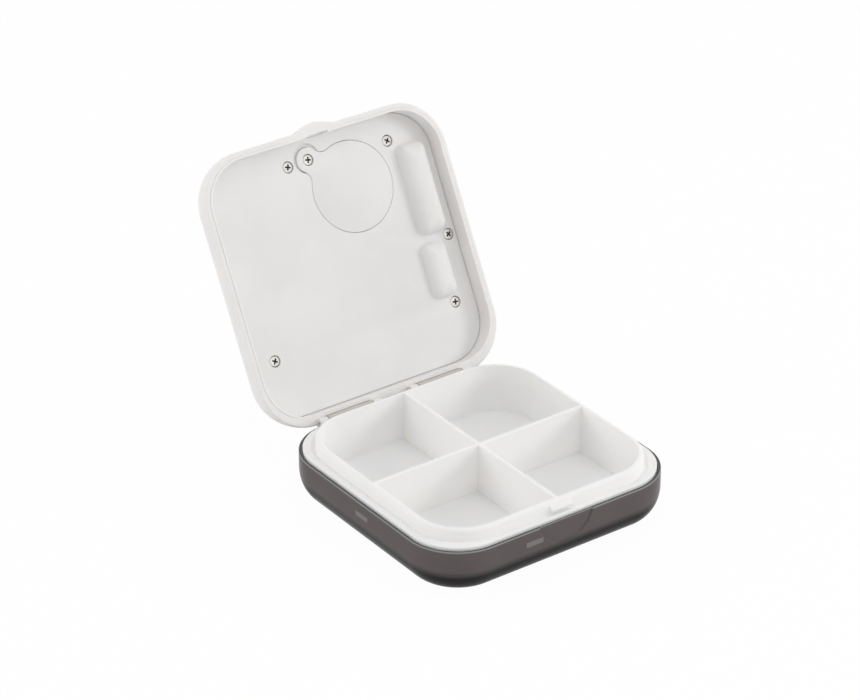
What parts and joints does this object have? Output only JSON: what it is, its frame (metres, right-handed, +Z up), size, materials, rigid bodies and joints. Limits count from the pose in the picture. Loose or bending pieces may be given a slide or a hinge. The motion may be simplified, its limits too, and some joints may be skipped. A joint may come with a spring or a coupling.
{
  "type": "electronic pill box",
  "caption": "Shallow square pill box with round corners, a smoked base, a white compartment tray and a thick hinged lid that holds an alarm clock.",
  "frame": {"origin": "on the surface that the box rests on, under the middle of the base", "axes": "+X right along the hinge, +Y to the back where the hinge is, +Z up; the lid is open at rest"},
  "size_m": [0.076, 0.1176, 0.0801],
  "materials": {
    "white_plastic": "satin",
    "smoked_plastic": "satin",
    "nickel_steel": "satin",
    "cell_can": "satin",
    "clear_plastic": "gloss",
    "display_glass": "gloss",
    "board_green": "satin",
    "black_plastic": "matte",
    "grey_plastic": "satin",
    "connector_rubber": "matte"
  },
  "bodies": {
    "base": {"base_shell": "smoked_plastic", "pill_tray": "white_plastic", "hinge_pin_left": "nickel_steel", "hinge_pin_right": "nickel_steel"},
    "lid": {"lid_cover": "white_plastic", "lid_inner_panel": "white_plastic", "battery_door": "white_plastic", "battery_door_screw": "nickel_steel", "panel_screw_1": "nickel_steel", "panel_screw_2": "nickel_steel", "panel_screw_3": "nickel_steel", "panel_screw_4": "nickel_steel", "panel_screw_5": "nickel_steel", "battery_contact_positive": "nickel_steel", "battery_contact_negative": "nickel_steel", "timing_crystal": "nickel_steel", "vibration_motor": "nickel_steel", "coin_cell": "cell_can", "display_window": "clear_plastic", "lcd_module": "display_glass", "circuit_board": "board_green", "controller_chip": "black_plastic", "buzzer": "black_plastic", "button_switch_left": "black_plastic", "button_switch_middle": "black_plastic", "button_switch_right": "black_plastic", "lcd_connector_strip": "connector_rubber", "buzzer_lead": "connector_rubber", "motor_lead": "connector_rubber"},
    "button_left": {"button_left": "grey_plastic"},
    "button_middle": {"button_middle": "grey_plastic"},
    "button_right": {"button_right": "grey_plastic"}
  },
  "joints": [
    {"name": "lid_hinge", "type": "hinge", "parent": "base", "child": "lid", "pos_m": [0, 0.03735, 0.0133], "axis": [1, 0, 0], "range_deg": [0, 118]},
    {"name": "button_left_press", "type": "slide", "parent": "lid", "child": "button_left", "axis": [0, -0.8829, 0.4695], "range_m": [0, 0.0004], "stiffness_N_per_m": 800},
    {"name": "button_middle_press", "type": "slide", "parent": "lid", "child": "button_middle", "axis": [0, -0.8829, 0.4695], "range_m": [0, 0.0004], "stiffness_N_per_m": 800},
    {"name": "button_right_press", "type": "slide", "parent": "lid", "child": "button_right", "axis": [0, -0.8829, 0.4695], "range_m": [0, 0.0004], "stiffness_N_per_m": 800}
  ]
}
